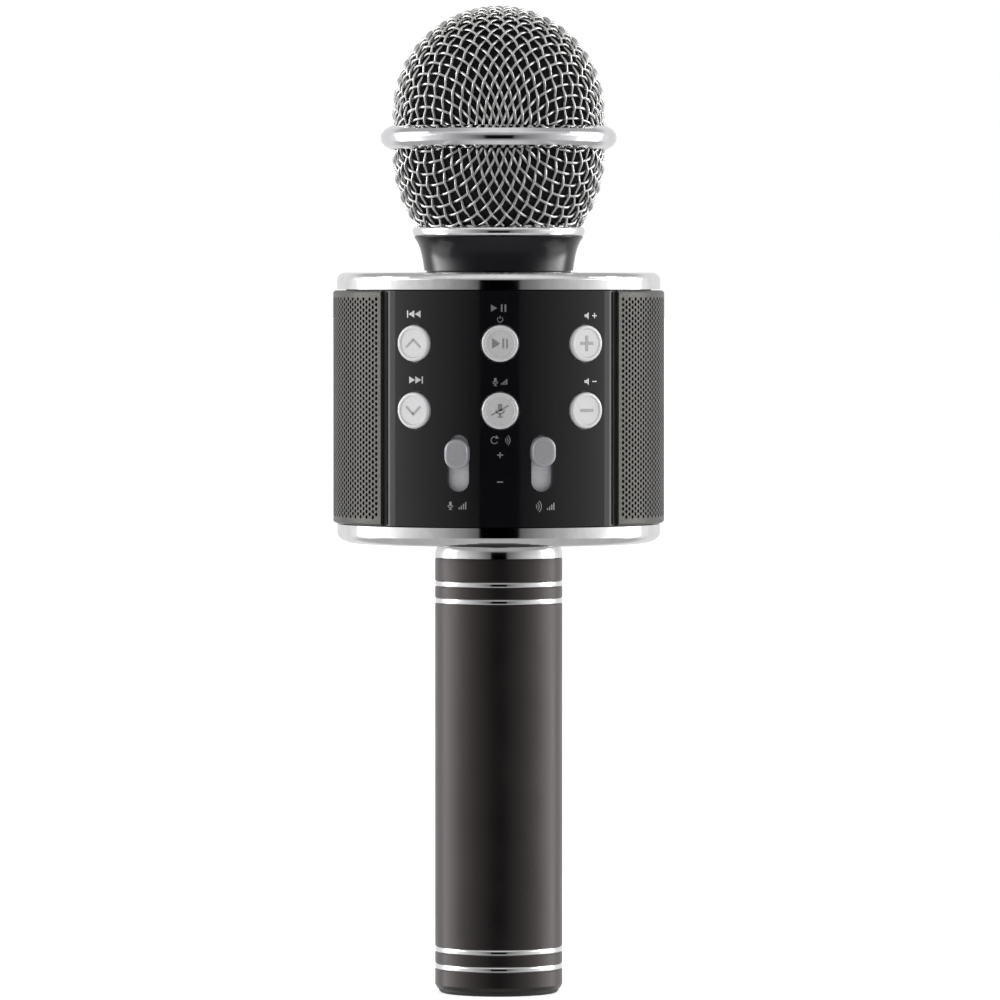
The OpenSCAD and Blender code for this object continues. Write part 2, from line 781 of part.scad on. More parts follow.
module power_knob() {
    color("#8d8f94") at_drum(180 - rear_control_angle, rear_control_z - power_travel / 2) union() {
        rounded_grip(2.8, 4.4, shield_r - 0.3, panel_r + 0.9, 0.4);
        block([-2.4, -6.2, shield_r - 1], [2.4, 6.2, shield_r - 0.2]);
        block([-0.9, -1.4, 37.15], [0.9, 1.4, shield_r - 0.5]);
    }
}

// ---- Handle ----

module handle_collar() {
    low = handle_top;
    top = drum_low;
    color("gainsboro") rotate_extrude() polygon(concat(
        [[stub_r + GAP / 2, low], [tube_r - 0.25, low], [tube_r, low + 0.25]],
        arc(tube_r - 1.2, low + 0.9, 1.2, 2.5, 0, 75, 10),
        [[tube_r - 1.0, low + 3.4], [tube_r - 1.0, top], [stub_r + GAP / 2, top]]
    ));
}

module handle_tube() {
    shoulder = 0.2;
    floor_r = tube_r - groove_depth;
    grooves = [
        for (z = ring_heights) each [
            [tube_r, z - trim_w / 2 - shoulder], [tube_r - shoulder, z - trim_w / 2],
            [floor_r, z - trim_w / 2], [floor_r, z + trim_w / 2],
            [tube_r - shoulder, z + trim_w / 2], [tube_r, z + trim_w / 2 + shoulder]
        ]
    ];
    color("#262324") rotate_extrude() polygon(concat(
        [[tube_r_in, cap_flange_h], [tube_r - 0.55, cap_flange_h], [tube_r, cap_flange_h + 1]],
        grooves,
        [[tube_r, handle_top - 0.15], [tube_r - 0.15, handle_top], [tube_r_in, handle_top]]
    ));
}

module handle_rings() {
    low_r = tube_r - groove_depth;
    round = 0.22;
    color("gainsboro") for (z = ring_heights) rotate_extrude() polygon(concat(
        [[low_r, z - trim_w / 2]],
        arc(trim_r - round, z, round, trim_w / 2, -80, 80, 8),
        [[low_r, z + trim_w / 2]]
    ));
}

module handle_stub() {
    flange_low = drum_low + cap_floor;
    color("#1a1a1a") difference() {
        union() {
            ring(stub_bore_r, stub_r, stub_low, flange_low + 1);
            ring(stub_bore_r, stub_flange_r, flange_low, flange_low + plate_t);
        }
        for (turn = [0, 120, 240]) rotate([0, 0, turn])
            translate([stub_screw_at, 0, flange_low + plate_t - 6]) cylinder(r = thread_hole_r, h = 7);
    }
}

module battery() {
    color("#2f6db5") union() {
        translate([0, 0, cell_low]) cylinder(r = cell_r, h = cell_h - 1.5);
        translate([0, 0, cell_low + cell_h - 2]) cylinder(r = 3, h = 2);
    }
}

module battery_holder() {
    open_half = 7.5;
    color("#1a1a1a") difference() {
        ring(0, holder_r, holder_low, holder_top);
        translate([0, 0, cell_low - 2.2]) cylinder(r = cell_r + 0.25, h = cell_h + 4.6);
        block([-open_half, -20, cell_low], [open_half, 0, cell_low + cell_h]);
        for (side = [-1, 1]) translate([side * 6, 6, holder_low - 1]) cylinder(r = 1.2, h = 100);
    }
}

module battery_contacts() {
    coil_low = cell_low - 2.2;
    color("gold") {
        translate([0, 0, coil_low]) cylinder(r = 5, h = 0.4);
        for (i = [0:2]) translate([0, 0, coil_low + 0.4 + 0.6 * i]) ring(3.6 - 0.8 * i, 4.4 - 0.8 * i, 0, 0.6);
        translate([0, 0, cell_low + cell_h]) cylinder(r = 5, h = 0.4);
    }
}

module battery_leads() {
    color("firebrick") for (side = [0, 1]) mirror([side, 0, 0])
        wire([[6, 6, holder_top - 3], [6, 6, stub_low + 6], [1.6, 0.5, board_low + 4]], 0.55);
}

module end_cap() {
    spigot_r = tube_r_in - 0.05;
    color("#1a1a1a") rotate_extrude() polygon(concat(
        [[0, 0]],
        arc(cap_flat_r, cap_flange_h * 0.9, tube_r - 0.9 - cap_flat_r, cap_flange_h * 0.9, -90, 0, 8),
        [[tube_r - 0.9, cap_flange_h], [spigot_r, cap_flange_h], [spigot_r, holder_low]],
        [[spigot_r - 1.6, holder_low], [spigot_r - 1.6, 2.6], [0, 2.6]]
    ));
}

upper_mesh();
lower_mesh();
head_band();
foam_liner();
head_base_ring();
neck_collar();
capsule_mount();
mic_capsule();
capsule_leads();
top_cap();
bottom_cap();
drum_frame();
frame_lid();
front_panel();
rear_panel();
left_grille();
right_grille();
left_speaker_basket();
left_speaker_magnet();
left_speaker_cone();
left_speaker_suspension();
right_speaker_basket();
right_speaker_magnet();
right_speaker_cone();
right_speaker_suspension();
speaker_leads();
speaker_screws();
case_screws();
main_board();
board_parts();
key_flex();
rear_key_boards();
tact_switches();
slide_pots();
power_switch();
status_light();
usb_socket();
card_socket();
charge_socket();
audio_jack();
previous_button();
next_button();
play_button();
replay_button();
volume_up_button();
volume_down_button();
mode_button();
mic_volume_knob();
echo_knob();
power_knob();
handle_collar();
handle_tube();
handle_rings();
handle_stub();
battery();
battery_holder();
battery_contacts();
battery_leads();
end_cap();
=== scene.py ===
"""Looks of the karaoke microphone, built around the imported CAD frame.

Lengths are in metres, or in millimetres where a comment says so.
"""

import json
import math

import bmesh
import bpy
import numpy as np
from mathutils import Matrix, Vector, noise


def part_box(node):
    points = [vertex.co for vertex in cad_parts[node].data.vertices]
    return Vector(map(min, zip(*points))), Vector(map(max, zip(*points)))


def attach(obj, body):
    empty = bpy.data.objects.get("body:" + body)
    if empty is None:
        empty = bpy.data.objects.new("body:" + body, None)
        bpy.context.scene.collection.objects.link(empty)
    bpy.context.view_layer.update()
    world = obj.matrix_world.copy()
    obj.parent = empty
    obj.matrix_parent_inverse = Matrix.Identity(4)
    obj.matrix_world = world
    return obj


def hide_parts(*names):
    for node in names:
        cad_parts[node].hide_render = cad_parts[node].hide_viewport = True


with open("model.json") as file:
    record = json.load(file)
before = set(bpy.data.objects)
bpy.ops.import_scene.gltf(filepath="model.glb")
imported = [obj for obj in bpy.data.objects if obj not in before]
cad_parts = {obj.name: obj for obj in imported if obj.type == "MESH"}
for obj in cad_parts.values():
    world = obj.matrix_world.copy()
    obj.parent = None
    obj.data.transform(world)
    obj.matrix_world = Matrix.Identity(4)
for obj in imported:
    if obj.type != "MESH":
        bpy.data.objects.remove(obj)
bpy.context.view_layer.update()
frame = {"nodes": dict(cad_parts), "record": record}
nodes = frame["nodes"]

MM = 0.001


def low_z(node):
    """The lowest height of a CAD node, in millimetres."""
    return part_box(node)[0][2] / MM


def top_z(node):
    """The highest height of a CAD node, in millimetres."""
    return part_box(node)[1][2] / MM


def middle_z(node):
    """The height half way up a CAD node, in millimetres."""
    lo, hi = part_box(node)
    return (lo[2] + hi[2]) / 2 / MM


# Sizes shared with the CAD model, in millimetres and degrees
BALL_R = 27.0
CUP_HALF_H = 29.0                    # half height of the ellipse that the lower half of the ball follows
MESH_LOW = low_z("lower_mesh")
CUP_Z = MESH_LOW + 18.5              # centre of that ellipse
DOME_Z = CUP_Z + 10.5                # centre of the dome
BAND_Z = CUP_Z + 4.1
FOAM_R = 25.55
FOAM_GAP = 1.45                      # from the outside of the ball to the foam
FOAM_T = 2.7
PANEL_R = 41.6
GRILLE_R = 41.9
GRILLE_T = 0.8
LIP_R = 39.4
GRILLE_LOW = low_z("left_grille")
GRILLE_TOP = top_z("left_grille")
GRILLE_ANGLE = 45.3                  # from the front to the near edge of a grille
BUTTON_ANGLE = 30.9
KNOB_ANGLE = 14.5
DISH_R = PANEL_R + 0.5               # floor of the shallow dish in a button's face
SHIELD_R = 39.75


# ---------------------------------------------------------------- materials

def node_tree(name):
    mat = bpy.data.materials.new(name)
    mat.use_nodes = True
    tree = mat.node_tree
    shader = tree.nodes["Principled BSDF"]
    return mat, tree, shader


def add(tree, kind, **values):
    node = tree.nodes.new(kind)
    for key, value in values.items():
        setattr(node, key, value)
    return node


def noise_field(tree, scale, detail=3.0, roughness=0.55, stretch=(1, 1, 1)):
    coords = add(tree, "ShaderNodeTexCoord")
    mapping = add(tree, "ShaderNodeMapping")
    mapping.inputs["Scale"].default_value = stretch
    field = add(tree, "ShaderNodeTexNoise")
    field.inputs["Scale"].default_value = scale
    field.inputs["Detail"].default_value = detail
    field.inputs["Roughness"].default_value = roughness
    tree.links.new(coords.outputs["Object"], mapping.inputs["Vector"])
    tree.links.new(mapping.outputs["Vector"], field.inputs["Vector"])
    return field.outputs["Fac"]


def ranged(tree, value, low, high, start=0.35, end=0.65):
    node = add(tree, "ShaderNodeMapRange")
    node.inputs["From Min"].default_value = start
    node.inputs["From Max"].default_value = end
    node.inputs["To Min"].default_value = low
    node.inputs["To Max"].default_value = high
    tree.links.new(value, node.inputs["Value"])
    return node.outputs["Result"]


def two_tone(tree, value, dark, light, start=0.35, end=0.65):
    ramp = add(tree, "ShaderNodeValToRGB")
    ramp.color_ramp.elements[0].position = start
    ramp.color_ramp.elements[1].position = end
    ramp.color_ramp.elements[0].color = (*dark, 1)
    ramp.color_ramp.elements[1].color = (*light, 1)
    tree.links.new(value, ramp.inputs["Fac"])
    return ramp.outputs["Color"]


def bumped(tree, shader, value, strength, distance):
    bump = add(tree, "ShaderNodeBump")
    bump.inputs["Strength"].default_value = strength
    bump.inputs["Distance"].default_value = distance
    tree.links.new(value, bump.inputs["Height"])
    tree.links.new(bump.outputs["Normal"], shader.inputs["Normal"])


def finish(name, dark, light, rough, metallic=0.0, grain=900, bump=0.1, depth=2e-5, patches=60,
           stretch=(1, 1, 1), **sockets):
    """A surface that varies all over: fine grain in colour and relief, broad patches in roughness."""
    mat, tree, shader = node_tree(name)
    fine = noise_field(tree, grain, stretch=stretch)
    broad = noise_field(tree, patches, detail=2.0)
    tree.links.new(two_tone(tree, fine, dark, light), shader.inputs["Base Color"])
    tree.links.new(ranged(tree, broad, *rough), shader.inputs["Roughness"])
    bumped(tree, shader, fine, bump, depth)
    shader.inputs["Metallic"].default_value = metallic
    for key, value in sockets.items():
        shader.inputs[key.replace("_", " ")].default_value = value
    return mat


def foam_finish(name):
    mat, tree, shader = node_tree(name)
    coords = add(tree, "ShaderNodeTexCoord")
    cells = add(tree, "ShaderNodeTexVoronoi")
    cells.inputs["Scale"].default_value = 1600
    tree.links.new(coords.outputs["Object"], cells.inputs["Vector"])
    tree.links.new(two_tone(tree, cells.outputs["Distance"], (0.004, 0.004, 0.004), (0.017, 0.017, 0.018), 0.1, 0.7),
                   shader.inputs["Base Color"])
    bumped(tree, shader, cells.outputs["Distance"], 0.8, 2e-4)
    shader.inputs["Roughness"].default_value = 0.95
    shader.inputs["Specular IOR Level"].default_value = 0.1
    return mat


LOOKS = {
    "wire_mesh": finish("wire_mesh", (0.52, 0.515, 0.51), (0.72, 0.715, 0.71), (0.26, 0.38), 1.0, grain=2500,
                        bump=0.15),
    "plated_trim": finish("plated_trim", (0.80, 0.80, 0.81), (0.88, 0.88, 0.89), (0.05, 0.11), 1.0, grain=300,
                          bump=0.03, depth=1e-5),
    "black_foam": foam_finish("black_foam"),
    "satin_plating": finish("satin_plating", (0.74, 0.74, 0.76), (0.82, 0.82, 0.84), (0.07, 0.11), 1.0, grain=300,
                            bump=0.03, depth=1e-5),
    "neck_satin": finish("neck_satin", (0.0030, 0.0030, 0.0046), (0.0050, 0.0050, 0.0072), (0.17, 0.22), grain=4000,
                         bump=0.1, Specular_IOR_Level=0.28),
    "black_rubber": finish("black_rubber", (0.010, 0.010, 0.010), (0.018, 0.018, 0.018), (0.55, 0.75), grain=2500),
    "capsule_metal": finish("capsule_metal", (0.52, 0.52, 0.53), (0.66, 0.66, 0.67), (0.25, 0.40), 1.0, grain=1200,
                            stretch=(1, 1, 6)),
    "wire_insulation": finish("wire_insulation", (0.30, 0.020, 0.015), (0.42, 0.035, 0.025), (0.35, 0.5), grain=1500),
    "frame_plastic": finish("frame_plastic", (0.008, 0.008, 0.008), (0.014, 0.014, 0.014), (0.45, 0.6), grain=3500,
                            bump=0.25),
    "panel_gloss": finish("panel_gloss", (0.0030, 0.0030, 0.0038), (0.0045, 0.0045, 0.0055), (0.05, 0.12), grain=5000,
                          bump=0.01, depth=5e-6),
    "grille_metal": finish("grille_metal", (0.070, 0.0675, 0.062), (0.100, 0.098, 0.092), (0.30, 0.42), 0.7, grain=3000,
                           bump=0.15),
    "speaker_steel": finish("speaker_steel", (0.03, 0.03, 0.033), (0.06, 0.06, 0.065), (0.35, 0.5), 0.8, grain=1500),
    "ferrite": finish("ferrite", (0.03, 0.03, 0.03), (0.07, 0.07, 0.07), (0.5, 0.7), 0.3, grain=2200, bump=0.3),
    "speaker_paper": finish("speaker_paper", (0.012, 0.012, 0.012), (0.030, 0.030, 0.030), (0.75, 0.95), grain=1800,
                            bump=0.4),
    "speaker_rubber": finish("speaker_rubber", (0.008, 0.008, 0.008), (0.016, 0.016, 0.016), (0.5, 0.65), grain=1800),
    "screw_steel": finish("screw_steel", (0.42, 0.42, 0.41), (0.60, 0.60, 0.58), (0.25, 0.45), 1.0, grain=1500),
    "board_green": finish("board_green", (0.012, 0.085, 0.035), (0.02, 0.14, 0.06), (0.25, 0.4), grain=700, bump=0.3),
    "component_black": finish("component_black", (0.012, 0.012, 0.012), (0.025, 0.025, 0.025), (0.4, 0.6), grain=2500),
    "flex_amber": finish("flex_amber", (0.22, 0.085, 0.012), (0.34, 0.14, 0.022), (0.15, 0.3), grain=500),
    "switch_metal": finish("switch_metal", (0.45, 0.45, 0.44), (0.62, 0.62, 0.60), (0.22, 0.4), 1.0, grain=1600),
    "light_pipe": finish("light_pipe", (0.60, 0.68, 0.72), (0.75, 0.82, 0.86), (0.1, 0.2), grain=900),
    "jack_plastic": finish("jack_plastic", (0.010, 0.010, 0.010), (0.02, 0.02, 0.02), (0.3, 0.45), grain=2500),
    "button_silver": finish("button_silver", (0.59, 0.58, 0.59), (0.67, 0.66, 0.67), (0.40, 0.48), 0.45, grain=3500,
                            bump=0.05),
    "knob_grey": finish("knob_grey", (0.28, 0.28, 0.297), (0.36, 0.36, 0.38), (0.36, 0.46), 0.4, grain=5000, bump=0.1),
    # painted light: a paler copy of the knobs' grey, which lightens the shade inside the slider slots
    "shield_painted_light": finish("shield_painted_light", (0.45, 0.45, 0.475), (0.55, 0.55, 0.575), (0.45, 0.6), 0.1, grain=3000,
                          bump=0.1),
    "handle_black": finish("handle_black", (0.0036, 0.0031, 0.0032), (0.0056, 0.0048, 0.0050), (0.26, 0.34), grain=5000,
                           bump=0.12, Specular_IOR_Level=0.7, Specular_Tint=(1.0, 0.90, 0.87, 1.0)),
    "battery_wrap": finish("battery_wrap", (0.010, 0.05, 0.26), (0.018, 0.08, 0.36), (0.15, 0.3), grain=600),
    "contact_gold": finish("contact_gold", (0.70, 0.48, 0.16), (0.85, 0.62, 0.25), (0.2, 0.35), 1.0, grain=1500),
    "print_silver": finish("print_silver", (0.50, 0.50, 0.51), (0.62, 0.62, 0.63), (0.30, 0.42), 0.9, grain=3500,
                           bump=0.05),
    "symbol_grey": finish("symbol_grey", (0.34, 0.34, 0.345), (0.44, 0.44, 0.445), (0.30, 0.45), 0.7, grain=3500,
                          bump=0.05),
}

# Every CAD node takes the look of its record slot, but the band round the ball is less polished than other trim
for part in frame["record"]["subparts"]:
    mesh = nodes[part["node"]].data
    mesh.materials.clear()
    mesh.materials.append(LOOKS["satin_plating" if part["node"] == "head_band" else part["material_slot"]])


# ---------------------------------------------------------------- mesh helpers

def placed(name, mesh, look, body):
    """The object of a finished mesh, riding on a CAD body."""
    obj = bpy.data.objects.new(name, mesh)
    bpy.context.collection.objects.link(obj)
    mesh.materials.append(LOOKS[look])
    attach(obj, body)
    return obj


def build(name, verts_mm, faces, look, body, stands_for, smooth=True):
    """A piece from points in millimetres, which stands for CAD nodes."""
    mesh = bpy.data.meshes.new(name)
    mesh.from_pydata((np.asarray(verts_mm, float) * MM).tolist(), [], faces)
    mesh.validate()
    mesh.update()
    for poly in mesh.polygons:
        poly.use_smooth = smooth
    obj = placed(name, mesh, look, body)
    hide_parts(*stands_for)
    return obj


def tube(points, radius, sides):
    """A closed tube along a line of points, as (points, faces)."""
    p = np.asarray(points, float)
    t = np.gradient(p, axis=0)
    t /= np.linalg.norm(t, axis=1)[:, None]
    side = np.cross(t[0], (0, 0, 1.0))
    if np.linalg.norm(side) < 1e-3:
        side = np.cross(t[0], (0, 1.0, 0))
    side /= np.linalg.norm(side)
    angles = np.linspace(0, 2 * np.pi, sides, endpoint=False)
    rings = []
    for k in range(len(p)):
        side = side - t[k] * side.dot(t[k])
        side /= np.linalg.norm(side)
        other = np.cross(t[k], side)
        rings.append(p[k] + radius * (np.outer(np.cos(angles), side) + np.outer(np.sin(angles), other)))
    verts = np.concatenate(rings)
    faces = []
    for k in range(len(p) - 1):
        for s in range(sides):
            a, b = k * sides + s, k * sides + (s + 1) % sides
            faces.append((a, b, b + sides, a + sides))
    faces.append(tuple(range(sides))[::-1])
    faces.append(tuple((len(p) - 1) * sides + s for s in range(sides)))
    return verts, faces


def tubes(lines, radius, sides):
    """The tubes along several lines, as (points, faces)."""
    verts, faces, base = [], [], 0
    for line in lines:
        v, f = tube(line, radius, sides)
        verts.append(v)
        faces += [tuple(i + base for i in face) for face in f]
        base += len(v)
    return np.concatenate(verts), faces


def smooth_route(points, steps):
    """A Catmull-Rom curve through the points, with steps points for each stretch."""
    p = [np.asarray(q, float) for q in points]
    p = [2 * p[0] - p[1], *p, 2 * p[-1] - p[-2]]
    out = []
    for k in range(1, len(p) - 2):
        for i in range(steps):
            t = i / steps
            out.append(0.5 * (2 * p[k] + (p[k + 1] - p[k - 1]) * t
                              + (2 * p[k - 1] - 5 * p[k] + 4 * p[k + 1] - p[k + 2]) * t * t
                              + (3 * p[k] - p[k - 1] - 3 * p[k + 1] + p[k + 2]) * t ** 3))
    out.append(p[-2])
    return out


# ---------------------------------------------------------------- woven ball

WIRE_R = 0.37
WIRE_GAP = 0.005                     # kept free between wires that cross
PITCH = 2.87
SAMPLES = 5                          # points along a wire from one crossing to the next
CLOTH_R = BALL_R - 2 * WIRE_R        # middle of the cloth
BAND_HIDES = 0.3                     # the wires end this far above and below the middle of the band


def net_quarter(net_r, rows):
    """Crossings of wire cloth laid over a sphere, in one quarter: every cell side has the same length."""
    step = 2 * math.asin(PITCH / 2 / net_r)
    first = np.array([math.sqrt(0.5), -math.sqrt(0.5), 0])
    second = np.array([math.sqrt(0.5), math.sqrt(0.5), 0])
    pole = np.array([0, 0, 1.0])
    grid = {}
    for k in range(rows):
        grid[k, 0] = math.cos(k * step) * pole + math.sin(k * step) * first
        grid[0, k] = math.cos(k * step) * pole + math.sin(k * step) * second
    for i in range(1, rows):
        for j in range(1, rows):
            a, b, c = (grid.get(key) for key in ((i - 1, j), (i, j - 1), (i - 1, j - 1)))
            if a is None or b is None or c is None:
                continue
            across = np.cross(a, b)
            size = np.linalg.norm(across)
            if size > 0.1 * step:
                grid[i, j] = c - 2 * c.dot(across) * across / size ** 2
    return grid


def crossing(grid, i, j):
    """The crossing (i, j) of the whole cloth, by turning the quarter."""
    if i >= 0 and j >= 0:
        key, cos, sin = (i, j), 1, 0
    elif i < 0 and j >= 0:
        key, cos, sin = (j, -i), 0, 1
    elif i < 0:
        key, cos, sin = (-i, -j), -1, 0
    else:
        key, cos, sin = (-j, i), 0, -1
    p = grid.get(key)
    return None if p is None else np.array([cos * p[0] - sin * p[1], sin * p[0] + cos * p[1], p[2]])


def cloth(net_r, profile, low, high):
    """The wires of both directions, each weaving over and under, on a surface of revolution between two heights."""
    radii, heights = np.array(profile).T
    along = np.concatenate([[0], np.cumsum(np.hypot(np.diff(radii), np.diff(heights)))])
    slope_r, slope_z = np.gradient(radii, along + 1e-9 * np.arange(len(along))), np.gradient(heights, along)
    up = 1 if heights[-1] > heights[0] else -1
    rows = int(net_r * math.pi * 0.62 / PITCH) + 2
    grid = net_quarter(net_r, rows)

    def on_surface(p, lift):
        p = p / np.linalg.norm(p)
        arc = net_r * math.acos(max(-1, min(1, p[2])))
        r, z = np.interp(arc, along, radii), np.interp(arc, along, heights)
        dr, dz = np.interp(arc, along, slope_r), np.interp(arc, along, slope_z)
        size = math.hypot(dr, dz)
        r += lift * up * dz / size
        z -= lift * up * dr / size
        turn = math.atan2(p[1], p[0])
        return np.array([r * math.cos(turn), r * math.sin(turn), z])

    families = []
    for family in (0, 1):
        lines = []
        for j in range(1 - rows, rows):
            run = []
            for i in range(1 - rows, rows + 1):
                p = None
                if i < rows:
                    p = crossing(grid, i, j) if family == 0 else crossing(grid, j, i)
                if p is not None:
                    run.append((i, p))
                    continue
                if len(run) > 2:
                    points = smooth_route([q for _, q in run], SAMPLES)
                    line = []
                    for k, q in enumerate(points):
                        phase = math.pi * (run[0][0] + j + k / SAMPLES)
                        line.append(on_surface(q, WIRE_R * math.cos(phase) * (1 - 2 * family)))
                    lines += clipped(line, low, high)
                run = []
        families.append([line for line in lines if len(line) > 2])
    return families


def clipped(line, low, high):
    """The stretches of a line between two heights, cut exactly at them."""
    parts, part = [], []
    for k, p in enumerate(line):
        inside = low <= p[2] <= high
        if k:
            q = line[k - 1]
            if inside != (low <= q[2] <= high):
                edge = low if min(p[2], q[2]) < low else high
                cut = q + (edge - q[2]) / (p[2] - q[2]) * (p - q)
                part.append(cut)
                if not inside:
                    parts.append(part)
                    part = []
        if inside:
            part.append(p)
    if part:
        parts.append(part)
    return parts


quarter_turn = np.linspace(0, math.pi / 2, 200)
dome_profile = [(CLOTH_R * math.sin(a), DOME_Z + CLOTH_R * math.cos(a)) for a in quarter_turn]
dome_profile.append((CLOTH_R, DOME_Z - 20))
cup_half = CUP_HALF_H - (BALL_R - CLOTH_R)
cup_start = -math.asin((CUP_Z - MESH_LOW) / cup_half)
cup_profile = [(0, MESH_LOW)]
cup_profile += [(CLOTH_R * math.cos(a), CUP_Z + cup_half * math.sin(a)) for a in np.linspace(cup_start, 0, 200)]
cup_profile.append((CLOTH_R, CUP_Z + 20))

for label, net_r, profile, low, high in (
    ("upper", CLOTH_R, dome_profile, BAND_Z + BAND_HIDES, math.inf),
    ("lower", BALL_R, cup_profile, MESH_LOW + 0.05, BAND_Z - BAND_HIDES),
):
    for word, lines in zip(("warp", "weft"), cloth(net_r, profile, low, high)):
        v, f = tubes(lines, WIRE_R - WIRE_GAP, 8)
        build(f"{label}_mesh_{word}", v, f, "wire_mesh", "grille_head", (f"{label}_mesh",))


# ---------------------------------------------------------------- foam liner

def foam_profile(r, half, low, steps):
    """(radius, height) up the cup, the straight part and the dome."""
    start = -math.asin((CUP_Z - low) / half)
    cup = [(r * math.cos(a), CUP_Z + half * math.sin(a)) for a in np.linspace(start, 0, steps)]
    dome = [(r * math.cos(a), DOME_Z + r * math.sin(a)) for a in np.linspace(0, math.pi / 2, steps + 12)]
    straight = [(r, z) for z in np.linspace(CUP_Z, DOME_Z, steps // 2)[1:-1]]
    return cup + straight + dome


def foam_piece():
    """A closed shell of foam with shallow pores outside, open at its foot, where the capsule's mount goes in."""
    foam_low = low_z("foam_liner")
    outer = foam_profile(FOAM_R, CUP_HALF_H - FOAM_GAP, foam_low, 30)
    inner = foam_profile(FOAM_R - FOAM_T, CUP_HALF_H - FOAM_GAP - FOAM_T, foam_low, 8)
    around = 200
    verts, faces = [], []
    for profile, outside in ((outer, True), (inner, False)):
        base = len(verts)
        for r, z in profile[:-1]:
            for k in range(around):
                a = 2 * math.pi * k / around
                p = Vector((r * math.cos(a), r * math.sin(a), z))
                if outside:
                    pores = noise.noise(p * 1.1) * 0.22 + noise.noise(p * 2.6) * 0.14
                    depth = 0.2 + max(min(pores, 0.2), -0.35)
                    p *= 1 - max(depth, 0.02) / p.length
                    p.z = z
                verts.append(p[:])
        tip = len(verts)
        verts.append((0, 0, profile[-1][1] - (0.3 if outside else 0)))
        rows = len(profile) - 1
        for row in range(rows - 1):
            for k in range(around):
                a, b = base + row * around + k, base + row * around + (k + 1) % around
                quad = (a, b, b + around, a + around)
                faces.append(quad if outside else quad[::-1])
        for k in range(around):
            a, b = base + (rows - 1) * around + k, base + (rows - 1) * around + (k + 1) % around
            faces.append((a, b, tip) if outside else (b, a, tip))
        if not outside:
            for k in range(around):
                a, b = k, (k + 1) % around
                faces.append((b, a, base + a, base + b))
    foam = build("foam_liner_open_cell", verts, faces, "black_foam", "grille_head", ("foam_liner",))


foam_piece()


# ---------------------------------------------------------------- pierced grilles

HOLE_R = 0.49
HOLE_SIDES = 12
ROW = 1.38
COLUMN = 1.27
PLAIN_EDGE = 1.6                     # least width of sheet without holes, both edges together
SHEET_INSET = 0.45                   # from a lip's outer face to the edge of the pierced sheet
LIP_BEND = 0.75
LIP_T = 0.5
LIP_STEPS = 90


